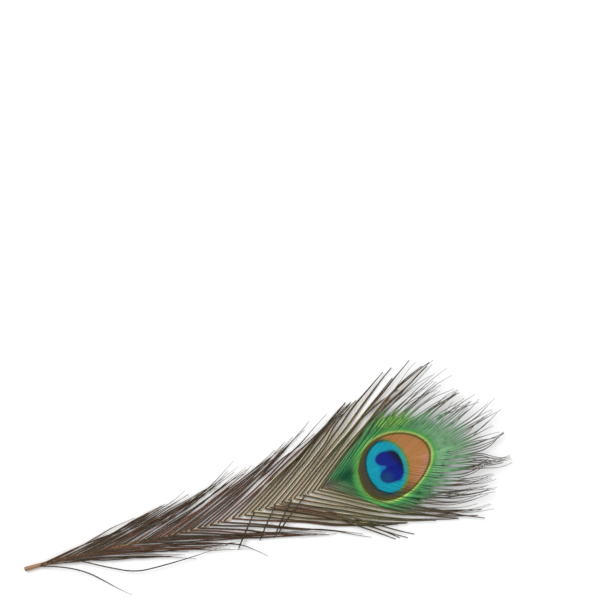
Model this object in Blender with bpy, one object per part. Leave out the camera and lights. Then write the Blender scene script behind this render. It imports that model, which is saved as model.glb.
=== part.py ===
"""A peacock's tail feather, cut from its train and lying face up on a flat surface.

One tapered shaft carries loose barbs on both sides. They are grouped by the stretch of
shaft that they grow from: base, middle and upper, and a crown of long barbs that wraps
the round, closely knitted eye. Each group is a thin solid that reaches its barbs' tips.

+X runs along the shaft from the cut end to the crown, +Y is the feather's left side and
+Z is up. The origin is under the middle of the whole feather, on the surface it lies on.
"""

import math

import bmesh
import bpy
import numpy as np
from mathutils import Vector

# Driving dimensions, in metres. Along the shaft, places are measured from its cut end.
SHAFT_LENGTH = 0.247
SHAFT_BOW = 0.005  # how far the middle of the shaft bends to the right
SHAFT_BOW_SPAN = 0.240
BUTT_RADIUS = 0.00130
SHAFT_TIP_RADIUS = 0.00030
SHAFT_TAPER = 2.0  # 1 is an even taper, and more thins the shaft sooner
SHAFT_SIDES = 12
SHAFT_RINGS = 40

EYE_CENTRE = Vector((0.226, -0.0008))
EYE_HALF_LENGTH = 0.0230
EYE_HALF_WIDTH = 0.0192
EYE_EGG = 0.16  # how much narrower the eye is at its far end
EYE_LEAN = 0.13  # how much that end leans to the left, as a slope
EYE_UNDERSIDE = 0.00150
EYE_THICKNESS = 0.0013
EYE_DISH = 0.0007  # how far the eye's middle lies below its rim
EYE_STEPS = 48

GAP = 0.0004  # between neighbouring solids
ROOT_GAP = 0.0028  # along the shaft, between the roots of two neighbouring groups
BARB_STEPS = 22
VANE_ROWS = 5
EDGE_THINNING = 0.2  # how much lower a group is along its two edges
CROWN_REACH = 0.297  # from the cut end to the crown's farthest tips

# How the barbs leave the shaft: the root's place, the barb's length in metres, and its
# heading off the shaft's line at the root, half way and at the tip, in degrees.
LEFT_BARBS = (
    (0.010, 0.070, 9, 10, 12),
    (0.045, 0.080, 12, 14, 17),
    (0.070, 0.084, 16, 18, 22),
    (0.092, 0.088, 20, 23, 27),
    (0.126, 0.092, 28, 32, 36),
    (0.160, 0.096, 34, 38, 36),
    (0.182, 0.100, 41, 36, 18),
)
RIGHT_BARBS = (
    (0.010, 0.080, 10, 13, 13),
    (0.070, 0.094, 14, 16, 13),
    (0.126, 0.096, 19.5, 23.5, 14),
    (0.160, 0.098, 25, 29, 11),
    (0.182, 0.100, 30, 36, 4),
)

# Each group of barbs: its name, and the stretch of shaft that it grows from.
GROUPS = (
    ("base_barbs", 0.010, 0.070),
    ("middle_barbs", 0.070, 0.126),
    ("upper_barbs", 0.126, 0.182),
)
CROWN_ROOT = 0.182
CROWN_LEAVES_SHAFT = 0.2005
CROWN_FIRST_TURN = 170  # where the crown meets the eye's rim beside the shaft, in degrees
CROWN_LAST_TURN = 1  # and where it leaves the rim beside the feather's middle
CROWN_FAN = 0.010  # how far the middle of each side's fringe reaches past a straight edge
CROWN_LEAN = 0.005  # how far to the left the tips of the feather's middle lie

# Heights at the shaft, half way out and at the tips. Only the crown lifts off the surface.
BARB_THICKNESS = (0.0020, 0.0024, 0.0012)
BARB_LIFT = (0.0, 0.0, 0.0)
CROWN_THICKNESS = (0.0018, 0.0022, 0.0010)
CROWN_LIFT = (0.0, 0.0, 0.0060)

# Linear colours, roughness and metallic values.
FINISHES = {
    "shaft": ((0.52, 0.40, 0.26), 0.45, 0.0),
    "eye": ((0.02, 0.16, 0.30), 0.35, 0.4),
    "barbs": ((0.10, 0.075, 0.045), 0.55, 0.1),
    "crown": ((0.09, 0.16, 0.06), 0.50, 0.2),
}


def clear_scene():
    """Removes whatever the scene holds."""
    for item in list(bpy.data.objects):
        bpy.data.objects.remove(item)


def material(name):
    """A Principled material with one of the FINISHES."""
    colour, roughness, metallic = FINISHES[name]
    made = bpy.data.materials.new(name)
    made.use_nodes = True
    shader = made.node_tree.nodes["Principled BSDF"]
    shader.inputs["Base Color"].default_value = (*colour, 1.0)
    shader.inputs["Roughness"].default_value = roughness
    shader.inputs["Metallic"].default_value = metallic
    return made


def shaft_point(place):
    """The shaft's centreline in plan, at a place along it."""
    return Vector((place, -SHAFT_BOW * math.sin(math.pi * place / SHAFT_BOW_SPAN) ** 2))


def shaft_radius(place):
    """The shaft thins quickly near its cut end, and slowly towards its tip."""
    left = (1 - place / SHAFT_LENGTH) ** SHAFT_TAPER
    return SHAFT_TIP_RADIUS + (BUTT_RADIUS - SHAFT_TIP_RADIUS) * left


def shaft_side(place, side):
    """Where a barb on that side leaves the shaft, a gap clear of it."""
    offset = Vector((0.0, side * (shaft_radius(place) + GAP)))
    return shaft_point(place) + offset


def barb_numbers(table, root):
    """A barb's length and three headings, read between the table's rows."""
    rows = np.array(table)
    return [float(np.interp(root, rows[:, 0], column)) for column in rows[:, 1:].T]


def barb_path(side, root):
    """The line of the barb that leaves the shaft at root, as BARB_STEPS + 1 points."""
    table = LEFT_BARBS if side > 0 else RIGHT_BARBS
    length, start, middle, end = barb_numbers(table, root)
    point = shaft_side(root, side)
    points = [point.copy()]
    for step in range(BARB_STEPS):
        u = (step + 0.5) / BARB_STEPS
        heading = start * (1 - u) ** 2 + 2 * middle * u * (1 - u) + end * u * u
        angle = side * math.radians(heading)
        point = point + Vector((math.cos(angle), math.sin(angle))) * length / BARB_STEPS
        points.append(point.copy())
    return points


def eye_rim(angle, grow=0.0):
    """A point on the eye's egg-shaped rim. Angle 0 is its far end."""
    along = (EYE_HALF_LENGTH + grow) * math.cos(angle)
    across = (EYE_HALF_WIDTH + grow) * math.sin(angle) * (1 - EYE_EGG * math.cos(angle))
    return EYE_CENTRE + Vector((along, across + EYE_LEAN * along))


def resampled(points, count):
    """The same line as count + 1 points, evenly spaced along it."""
    line = np.array([tuple(p) for p in points])
    steps = np.linalg.norm(np.diff(line, axis=0), axis=1)
    along = np.concatenate(([0.0], np.cumsum(steps)))
    places = np.linspace(0, along[-1], count + 1)
    return [Vector((np.interp(p, along, line[:, 0]), np.interp(p, along, line[:, 1])))
            for p in places]


def finished(name, mesh, finish):
    """An object that wears the mesh, smooth but for its sharp edges."""
    item = bpy.data.objects.new(name, mesh)
    bpy.context.scene.collection.objects.link(item)
    mesh.materials.append(finish)
    mesh.shade_smooth()
    mesh.set_sharp_from_angle(angle=math.radians(40))
    return item


def closed_mesh(name, build):
    """A mesh made by build(bm), with its faces turned outwards."""
    bm = bmesh.new()
    build(bm)
    bmesh.ops.recalc_face_normals(bm, faces=bm.faces)
    if bm.calc_volume(signed=True) < 0:  # thin shapes can come out the wrong way
        bmesh.ops.reverse_faces(bm, faces=bm.faces)
    mesh = bpy.data.meshes.new(name)
    bm.to_mesh(mesh)
    bm.free()
    return mesh


def bridge(bm, rings):
    """Joins neighbouring rings of vertices with faces, and leaves both ends open."""
    for near, far in zip(rings, rings[1:]):
        for i, vertex in enumerate(near):
            after = (i + 1) % len(near)
            bm.faces.new((vertex, near[after], far[after], far[i]))


def shaft_mesh():
    """A round taper that lies on the surface along its whole length."""
    def build(bm):
        rings = []
        for step in range(SHAFT_RINGS + 1):
            place = SHAFT_LENGTH * step / SHAFT_RINGS
            centre, radius = shaft_point(place), shaft_radius(place)
            ring = []
            for side in range(SHAFT_SIDES):
                turn = math.tau * (side + 0.5) / SHAFT_SIDES
                flat = math.cos(math.pi / SHAFT_SIDES)  # a flat of the ring faces down
                y = centre.y + radius * math.cos(turn) / flat
                z = radius + radius * math.sin(turn) / flat
                ring.append(bm.verts.new((centre.x, y, z)))
            rings.append(ring)
        bridge(bm, rings)
        for end in (rings[0], rings[-1]):
            bm.faces.new(end)
    return closed_mesh("shaft", build)


def height_at(heights, u):
    """A smooth curve through the heights at the shaft, half way and at the tips."""
    near, middle, tip = heights
    return near * (1 - u) ** 2 + 2 * middle * u * (1 - u) + tip * u * u


def vane_mesh(name, lines, thickness, lift):
    """A thin solid spread over several lines, which all run from the shaft outwards in
    as many steps."""
    last_row, last_step = len(lines) - 1, len(lines[0]) - 1

    def build(bm):
        rings = []
        for step in range(last_step + 1):
            under = height_at(lift, step / last_step)
            deep = height_at(thickness, step / last_step)
            floor, roof = [], []
            for row, line in enumerate(lines):
                swell = 1 - EDGE_THINNING + EDGE_THINNING * math.sin(math.pi * row / last_row)
                floor.append(bm.verts.new((*line[step], under)))
                roof.append(bm.verts.new((*line[step], under + deep * swell)))
            rings.append(floor + roof[::-1])
        bridge(bm, rings)
        for ring in (rings[0], rings[-1]):
            for i in range(last_row):
                bm.faces.new((ring[i], ring[i + 1], ring[-i - 2], ring[-i - 1]))
    return closed_mesh(name, build)


def group_lines(side, near_root, far_root):
    """Evenly spaced barbs of a group, the one nearest the cut end first."""
    roots = np.linspace(near_root, far_root - ROOT_GAP, VANE_ROWS + 1)
    return [barb_path(side, float(root)) for root in roots]


def crown_lines(side):
    """Lines between the crown's outer barb and its inner edge, which runs beside the
    shaft, round the eye and along the feather's middle. Their tips fan out."""
    outer = barb_path(side, CROWN_ROOT)
    beside = np.linspace(CROWN_ROOT + ROOT_GAP, CROWN_LEAVES_SHAFT, 4)
    turns = np.linspace(CROWN_FIRST_TURN, CROWN_LAST_TURN, EYE_STEPS // 2)
    rim = [eye_rim(side * math.radians(turn), grow=GAP) for turn in turns]
    inner = [shaft_side(float(place), side) for place in beside] + rim
    inner.append(Vector((CROWN_REACH, rim[-1].y + CROWN_LEAN)))
    inner = resampled(inner, BARB_STEPS)
    edge = inner[-1] - outer[-1]
    forward = Vector((-edge.y, edge.x)) * side / edge.length
    lines = []
    for row in range(VANE_ROWS + 1):
        share = row / VANE_ROWS
        fan = forward * CROWN_FAN * math.sin(math.pi * share)
        lines.append([a.lerp(b, share) + fan * (step / BARB_STEPS) ** 2
                      for step, (a, b) in enumerate(zip(outer, inner, strict=True))])
    return lines


def eye_mesh():
    """The knitted disc: a thin egg-shaped plate, slightly dished, over the shaft's end."""
    rings = (0.0, 0.35, 0.7, 1.0)

    def build(bm):
        layers = []
        for lift in (0.0, EYE_THICKNESS):
            centre = bm.verts.new((*EYE_CENTRE, EYE_UNDERSIDE + lift - EYE_DISH * (lift > 0)))
            loops = []
            for share in rings[1:]:
                low = EYE_DISH * (1 - share * share) if lift else 0.0
                loop = []
                for step in range(EYE_STEPS):
                    rim = eye_rim(math.tau * step / EYE_STEPS)
                    place = EYE_CENTRE.lerp(rim, share)
                    loop.append(bm.verts.new((*place, EYE_UNDERSIDE + lift - low)))
                loops.append(loop)
            for i in range(EYE_STEPS):
                after = (i + 1) % EYE_STEPS
                bm.faces.new((centre, loops[0][i], loops[0][after]))
                for near, far in zip(loops, loops[1:]):
                    bm.faces.new((near[i], near[after], far[after], far[i]))
            layers.append(loops[-1])
        for i in range(EYE_STEPS):
            after = (i + 1) % EYE_STEPS
            bm.faces.new((layers[0][i], layers[0][after], layers[1][after], layers[1][i]))
    return closed_mesh("eye", build)


def centre_on_origin(items):
    """Moves the feather so that the origin is under the middle of its box."""
    corners = [vertex.co for item in items for vertex in item.data.vertices]
    low = Vector(min(c[i] for c in corners) for i in range(3))
    high = Vector(max(c[i] for c in corners) for i in range(3))
    shift = Vector((-(low.x + high.x) / 2, -(low.y + high.y) / 2, -low.z))
    for item in items:
        item.location = shift


def main():
    """Builds the feather, one object for each piece."""
    clear_scene()
    finishes = {name: material(name) for name in FINISHES}
    items = [finished("shaft", shaft_mesh(), finishes["shaft"]),
             finished("eye", eye_mesh(), finishes["eye"])]
    for side_name, side in (("left", 1), ("right", -1)):
        for group, near_root, far_root in GROUPS:
            name = f"{side_name}_{group}"
            lines = group_lines(side, near_root, far_root)
            mesh = vane_mesh(name, lines, BARB_THICKNESS, BARB_LIFT)
            items.append(finished(name, mesh, finishes["barbs"]))
        name = f"{side_name}_crown"
        mesh = vane_mesh(name, crown_lines(side), CROWN_THICKNESS, CROWN_LIFT)
        items.append(finished(name, mesh, finishes["crown"]))
    centre_on_origin(items)


main()
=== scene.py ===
"""A peacock's tail feather, cut from its train and lying face up on a pale table.

Lengths are in millimetres on the feather's own plan until a mesh is made. There x runs
along the shaft from its cut end, y to the feather's left and z up from the table.
Every barb is a strand of its own, with its barbules, and grows from the shaft.
"""

from __future__ import annotations

import logging
import math
from dataclasses import dataclass
from enum import Enum

import bpy
import numpy as np
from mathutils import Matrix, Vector


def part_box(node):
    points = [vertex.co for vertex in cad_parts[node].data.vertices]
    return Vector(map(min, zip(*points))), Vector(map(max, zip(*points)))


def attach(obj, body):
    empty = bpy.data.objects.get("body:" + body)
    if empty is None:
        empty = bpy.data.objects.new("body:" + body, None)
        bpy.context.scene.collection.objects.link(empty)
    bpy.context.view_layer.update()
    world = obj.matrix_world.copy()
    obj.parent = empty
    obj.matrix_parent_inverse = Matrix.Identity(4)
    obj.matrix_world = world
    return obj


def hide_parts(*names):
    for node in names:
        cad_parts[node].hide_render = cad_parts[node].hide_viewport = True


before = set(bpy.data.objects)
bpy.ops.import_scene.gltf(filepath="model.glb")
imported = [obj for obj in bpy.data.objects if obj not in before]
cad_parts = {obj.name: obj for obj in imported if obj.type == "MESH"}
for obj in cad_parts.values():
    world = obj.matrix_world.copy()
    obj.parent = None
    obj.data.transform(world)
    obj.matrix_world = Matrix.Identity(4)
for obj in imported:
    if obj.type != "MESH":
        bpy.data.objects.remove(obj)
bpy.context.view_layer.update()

log = logging.getLogger("feather")

MM = 0.001
UP = np.array([0.0, 0.0, 1.0])
BODY = "root"

Colour = tuple[float, float, float]


def srgb(red: int, green: int, blue: int) -> Colour:
    """Turns a screen colour into the linear one that shaders take.

    Args:
        red: The red part, from 0 to 255.
        green: The green part, from 0 to 255.
        blue: The blue part, from 0 to 255.

    Returns:
        The three parts, each from 0 to 1.
    """
    shares = (red / 255, green / 255, blue / 255)
    return tuple(share / 12.92 if share <= 0.04045 else ((share + 0.055) / 1.055) ** 2.4
                 for share in shares)


def smooth(value: np.ndarray, low: float, high: float) -> np.ndarray:
    """Eases from 0 at low to 1 at high.

    Args:
        value: Any numbers.
        low: Where the result leaves 0.
        high: Where it reaches 1.

    Returns:
        An array like value, from 0 to 1.
    """
    share = np.clip((value - low) / (high - low), 0.0, 1.0)
    return share * share * (3 - 2 * share)


def put_in_scene(name: str, data: bpy.types.ID) -> bpy.types.Object:
    """Makes an object of a mesh, a light or a camera.

    Args:
        name: The object's name.
        data: The mesh, light or camera.

    Returns:
        The object, linked to the scene, at the origin.
    """
    made = bpy.data.objects.new(name, data)
    bpy.context.scene.collection.objects.link(made)
    return made


def dress(piece: bpy.types.Object, finish: bpy.types.Material, node: str) -> None:
    """Gives a piece its material, and puts it in place of a CAD node.

    Args:
        piece: The new piece.
        finish: Its material.
        node: The CAD node that it stands for.
    """
    piece.data.materials.append(finish)
    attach(piece, BODY)
    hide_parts(node)


def ring_faces(rings: int, sides: int) -> np.ndarray:
    """Joins closed rings of points that follow one another.

    Args:
        rings: The number of rings.
        sides: The number of points in each.

    Returns:
        One row of four point numbers for each face between them.
    """
    near, side = np.meshgrid(np.arange(rings - 1) * sides, np.arange(sides), indexing="ij")
    far, after = near + sides, (side + 1) % sides
    return np.stack([near + side, far + side, far + after, near + after], axis=-1).reshape(-1, 4)


class Side(Enum):
    """The two sides of the shaft, with the sign that each has in y."""

    LEFT = 1
    RIGHT = -1

    @property
    def word(self) -> str:
        """The side's name, as the pieces use it."""
        return self.name.lower()


# ---- the plan


@dataclass(frozen=True)
class Plan:
    """Where the feather's own plan lies in the frame."""

    origin: Vector
    butt_radius: float
    shaft_length: float

    @classmethod
    def from_frame(cls) -> Plan:
        """Reads the plan off the CAD shaft, whose cut end is the plan's origin.

        Returns:
            The plan.
        """
        low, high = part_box("shaft")
        radius = (high.z - low.z) / 2
        origin = Vector((low.x, high.y - radius, low.z))
        return cls(origin, radius / MM, (high.x - low.x) / MM)

    def placed(self, points: np.ndarray) -> np.ndarray:
        """Turns points on the plan, in millimetres, into the frame's metres."""
        return points * MM + np.array(self.origin)


@dataclass(frozen=True)
class EyeShape:
    """The eye's egg-shaped rim. Its blunt end faces the cut end of the shaft."""

    centre_x: float = 226.0
    centre_y: float = -0.8
    half_length: float = 23.0
    half_width: float = 19.2
    egg: float = 0.16
    lean: float = 0.13

    def distance(self, x: np.ndarray, y: np.ndarray) -> np.ndarray:
        """How far out a point lies: 0 at the middle and 1 on the rim.

        Args:
            x: Places along the shaft.
            y: Places to its left.

        Returns:
            The distances, as an array of the same shape.
        """
        along = (x - self.centre_x) / self.half_length
        narrowing = np.clip(1 - self.egg * along, 0.4, 1.6)
        middle = self.centre_y + (x - self.centre_x) * self.lean
        across = (y - middle) / (self.half_width * narrowing)
        return np.hypot(along, across)


EYE = EyeShape()


# ---- the shader canvas


class Field:
    """A number that varies over a surface: the output of a shader node."""

    def __init__(self, canvas: Canvas, socket: bpy.types.NodeSocket) -> None:
        """Keeps the canvas that the node stands on, and the node's output."""
        self.canvas = canvas
        self.socket = socket

    def _math(self, operation: str, *others: Field | float) -> Field:
        """Adds a Math node.

        Args:
            operation: What it works out.
            others: The numbers that it takes after this one.

        Returns:
            Its result.
        """
        node = self.canvas.node("ShaderNodeMath")
        node.operation = operation
        for socket, value in zip(node.inputs, (self, *others)):
            self.canvas.feed(socket, value)
        return Field(self.canvas, node.outputs[0])

    def __add__(self, other: Field | float) -> Field:
        """The sum."""
        return self._math("ADD", other)

    def __sub__(self, other: Field | float) -> Field:
        """The difference."""
        return self._math("SUBTRACT", other)

    def __mul__(self, other: Field | float) -> Field:
        """The product."""
        return self._math("MULTIPLY", other)

    def __truediv__(self, other: Field | float) -> Field:
        """The quotient."""
        return self._math("DIVIDE", other)

    def least(self, other: Field | float) -> Field:
        """The lower of two numbers."""
        return self._math("MINIMUM", other)

    def most(self, other: Field | float) -> Field:
        """The higher of two numbers."""
        return self._math("MAXIMUM", other)

    def least_softly(self, other: Field, soft: float) -> Field:
        """The lower of two numbers, rounded off where they are within soft."""
        return self._math("SMOOTH_MIN", other, soft)

    def size(self) -> Field:
        """The number without its sign."""
        return self._math("ABSOLUTE")

    def wave(self) -> Field:
        """Its sine."""
        return self._math("SINE")

    def with_side(self, other: Field) -> Field:
        """The long side of a right triangle whose short sides are the two numbers."""
        return (self * self + other * other)._math("SQRT")

    def rise(self, low: float, high: float) -> Field:
        """Eases from 0 at low to 1 at high.

        Args:
            low: Where the result leaves 0.
            high: Where it reaches 1.

        Returns:
            The eased number.
        """
        node = self.canvas.node("ShaderNodeMapRange")
        node.interpolation_type = "SMOOTHSTEP"
        self.canvas.feed(node.inputs["Value"], self)
        node.inputs["From Min"].default_value = low
        node.inputs["From Max"].default_value = high
        return Field(self.canvas, node.outputs[0])

    def fall(self, low: float, high: float) -> Field:
        """Eases from 1 at low to 0 at high."""
        return self.rise(low, high) * -1.0 + 1.0

    def band(self, low: float, high: float, soft: float) -> Field:
        """1 between low and high, easing to 0 over soft on both sides."""
        return self.rise(low - soft, low + soft) * self.fall(high - soft, high + soft)


Paint = Colour | bpy.types.NodeSocket


class Canvas:
    """A material and the nodes of its pattern.

    Its x and y are where the shaded point lies on the feather's plan, in millimetres.
    """

    def __init__(self, name: str, plan: Plan) -> None:
        """Starts a material with one Principled shader.

        Args:
            name: The material's name.
            plan: Where the feather's plan lies.
        """
        self.material = bpy.data.materials.new(name)
        self.material.use_nodes = True
        self.tree = self.material.node_tree
        self.shader = self.tree.nodes["Principled BSDF"]
        self.x, self.y = self._place(plan)

    def node(self, kind: str) -> bpy.types.Node:
        """Adds a node."""
        return self.tree.nodes.new(kind)

    def feed(self, socket: bpy.types.NodeSocket, value: Field | Paint | float) -> None:
        """Sets an input, or links a node's output to it.

        Args:
            socket: The input.
            value: A field, a socket, a colour or a plain number.
        """
        if isinstance(value, Field):
            self.tree.links.new(value.socket, socket)
        elif isinstance(value, bpy.types.NodeSocket):
            self.tree.links.new(value, socket)
        elif isinstance(value, tuple):
            socket.default_value = (*value, 1.0)[:len(socket.default_value)]
        else:
            socket.default_value = value

    def attribute(self, name: str) -> Field:
        """A number that the mesh carries at its points.

        Args:
            name: The mark's name.

        Returns:
            The number.
        """
        node = self.node("ShaderNodeAttribute")
        node.attribute_name = name
        return Field(self, node.outputs["Fac"])

    def _place(self, plan: Plan) -> tuple[Field, Field]:
        """Reads where the shaded point lies.

        Args:
            plan: Where the feather's plan lies.

        Returns:
            The point's x and y.
        """
        node = self.node("ShaderNodeVectorMath")
        node.operation = "SUBTRACT"
        node.inputs[1].default_value = plan.origin
        coordinates = self.node("ShaderNodeTexCoord")
        self.tree.links.new(coordinates.outputs["Object"], node.inputs[0])
        split = self.node("ShaderNodeSeparateXYZ")
        self.tree.links.new(node.outputs[0], split.inputs[0])
        x, y = (Field(self, split.outputs[axis]) * (1 / MM) for axis in "XY")
        return x, y

    def facing_up(self) -> Field:
        """Tells the feather's face from its underside.

        Returns:
            1 on faces that look up, and 0 on those that look down.
        """
        coordinates = self.node("ShaderNodeTexCoord")
        split = self.node("ShaderNodeSeparateXYZ")
        self.tree.links.new(coordinates.outputs["Normal"], split.inputs[0])
        return Field(self, split.outputs["Z"]).rise(-0.30, 0.02)

    def noise(self, patch: float, detail: float = 2.0, stretch: Colour = (1, 1, 1)) -> Field:
        """Soft patches.

        Args:
            patch: How large they are, in millimetres.
            detail: How many finer layers they have.
            stretch: How much finer they are along each axis.

        Returns:
            A number from about 0.2 to 0.8.
        """
        coordinates = self.node("ShaderNodeTexCoord")
        mapping = self.node("ShaderNodeMapping")
        mapping.inputs["Scale"].default_value = stretch
        self.tree.links.new(coordinates.outputs["Object"], mapping.inputs["Vector"])
        node = self.node("ShaderNodeTexNoise")
        node.inputs["Scale"].default_value = 1 / (patch * MM)
        node.inputs["Detail"].default_value = detail
        self.tree.links.new(mapping.outputs[0], node.inputs["Vector"])
        return Field(self, node.outputs[0])

    def mix(self, below: Paint, above: Paint, share: Field | float) -> bpy.types.NodeSocket:
        """Lays one colour over another.

        Args:
            below: The colour underneath.
            above: The colour on top.
            share: How much of it covers, from 0 to 1.

        Returns:
            The mixed colour's socket.
        """
        node = self.node("ShaderNodeMix")
        node.data_type = "RGBA"
        self.feed(node.inputs[0], share)
        self.feed(node.inputs[6], below)
        self.feed(node.inputs[7], above)
        return node.outputs[2]

    def shade(self, colour: Paint, amount: Field) -> bpy.types.NodeSocket:
        """Makes a colour brighter or darker.

        Args:
            colour: The colour.
            amount: What it is multiplied by.

        Returns:
            The new colour's socket.
        """
        node = self.node("ShaderNodeVectorMath")
        node.operation = "SCALE"
        self.feed(node.inputs[0], colour)
        self.feed(node.inputs["Scale"], amount)
        return node.outputs[0]

    def bump(self, height: Field, distance: float, strength: float) -> None:
        """Gives the surface a relief.

        Args:
            height: The relief, from 0 to 1.
            distance: Its depth in millimetres.
            strength: How strongly it shows.
        """
        node = self.node("ShaderNodeBump")
        node.inputs["Strength"].default_value = strength
        node.inputs["Distance"].default_value = distance * MM
        self.feed(node.inputs["Height"], height)
        self.tree.links.new(node.outputs[0], self.shader.inputs["Normal"])

    def gloss(self, metallic: float, specular: float, sheen: float = 0.0) -> None:
        """Sets the parts of the gloss that are the same all over.

        Args:
            metallic: How much the colour itself shines, as structural colour does.
            specular: How strong the clear highlight is.
            sheen: How strong the soft glow of the finest hairs is.
        """
        self.shader.inputs["Metallic"].default_value = metallic
        self.shader.inputs["Specular IOR Level"].default_value = specular
        self.shader.inputs["Sheen Weight"].default_value = sheen
        self.shader.inputs["Sheen Roughness"].default_value = 0.45


def eye_distance(canvas: Canvas) -> Field:
    """Works out the eye's distance with shader nodes.

    Args:
        canvas: The material's canvas.

    Returns:
        The distance: 0 at the eye's middle and 1 on its rim.
    """
    along = (canvas.x - EYE.centre_x) / EYE.half_length
    narrowing = along.least(1.5) * -EYE.egg + 1.0
    middle = (canvas.x - EYE.centre_x) * EYE.lean + EYE.centre_y
    across = (canvas.y - middle) / (narrowing * EYE.half_width)
    return along.with_side(across)


# ---- the finishes


@dataclass(frozen=True)
class HornFinish:
    """The shaft: smooth horn, orange-tan where it was cut and pale further on."""

    cut: Colour = srgb(140, 102, 66)
    body: Colour = srgb(128, 100, 70)
    end: Colour = srgb(184, 176, 148)
    pith: Colour = srgb(226, 206, 170)
    streak: Colour = srgb(120, 84, 52)

    def material(self, plan: Plan) -> bpy.types.Material:
        """Builds the material.

        Args:
            plan: Where the feather's plan lies.

        Returns:
            The material.
        """
        canvas = Canvas("horn", plan)
        colour = canvas.mix(self.cut, self.body, canvas.x.rise(14, 55))
        colour = canvas.mix(colour, self.end, canvas.x.rise(70, 140))
        fibres = canvas.noise(0.5, 3.0, (0.06, 1.0, 1.0))
        colour = canvas.mix(colour, self.streak, fibres.rise(0.5, 0.75) * 0.55)
        colour = canvas.mix(colour, self.pith, canvas.attribute("pith"))
        canvas.feed(canvas.shader.inputs["Base Color"], colour)
        canvas.feed(canvas.shader.inputs["Roughness"], fibres * 0.3 + 0.28)
        canvas.bump(fibres, 0.05, 0.5)
        canvas.gloss(0.0, 0.5)
        return canvas.material


@dataclass(frozen=True)
class BarbFinish:
    """Loose barbs: dark, with pale webs where they spread, and a cast near the eye."""

    name: str
    dark: Colour
    warm: Colour
    # The ramus colour and the share two lines below give the pale line along each ramus: partly the
    # ramus's own paler colour, partly a painted highlight.
    ramus: Colour
    tip: Colour
    ramus_and_highlight_shows: float = 0.6
    web: Colour = srgb(186, 166, 132)
    web_shows: float = 0.6
    cast: Colour = srgb(84, 104, 46)
    under: Colour = srgb(92, 76, 60)
    cast_reach: float = 2.3

    def paint(self, canvas: Canvas) -> bpy.types.NodeSocket:
        """The barbs' colour as seen from the face.

        Args:
            canvas: The material's canvas.

        Returns:
            The colour's socket.
        """
        tone = canvas.attribute("tone")
        along = canvas.attribute("along")
        spread = canvas.attribute("spread")
        patches = canvas.noise(7.0, 3.0)
        warmth = (tone * 0.55 + patches * 0.65).rise(0.50, 0.84)
        colour = canvas.mix(self.dark, self.warm, warmth)
        near_eye = eye_distance(canvas).fall(1.15, self.cast_reach)
        colour = canvas.mix(colour, self.cast, near_eye * 0.75)
        colour = canvas.mix(colour, self.tip, along.rise(0.55, 1.0) * 0.8)
        # The pale line along each ramus: partly its own paler colour, partly a painted highlight
        # where light catches the strand.
        light = canvas.mix(self.ramus, self.cast, near_eye * 0.35)
        shows = spread.fall(0.10, 0.28) * (tone * -0.5 + 1.0) * self.ramus_and_highlight_shows
        colour = canvas.mix(colour, light, shows)
        colour = canvas.mix(colour, self.web, spread.rise(0.40, 0.58) * self.web_shows)
        return canvas.shade(colour, tone * 0.5 + 0.75)

    def material(self, plan: Plan) -> bpy.types.Material:
        """Builds the material.

        Args:
            plan: Where the feather's plan lies.

        Returns:
            The material.
        """
        canvas = Canvas(self.name, plan)
        colour = canvas.mix(self.under, self.paint(canvas), canvas.facing_up())
        canvas.feed(canvas.shader.inputs["Base Color"], colour)
        grain = canvas.noise(0.6, 2.0)
        canvas.feed(canvas.shader.inputs["Roughness"], grain * 0.35 + 0.32)
        canvas.gloss(0.10, 0.22, 0.03)
        return canvas.material


@dataclass(frozen=True)
class Oval:
    """An oval mark on the plan: its middle, and its half sizes along x and y."""

    x: float
    y: float
    half_x: float
    half_y: float

    def distance(self, canvas: Canvas) -> Field:
        """How far out a point lies: 0 at the oval's middle and 1 on its edge."""
        return ((canvas.x - self.x) / self.half_x).with_side((canvas.y - self.y) / self.half_y)


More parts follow.
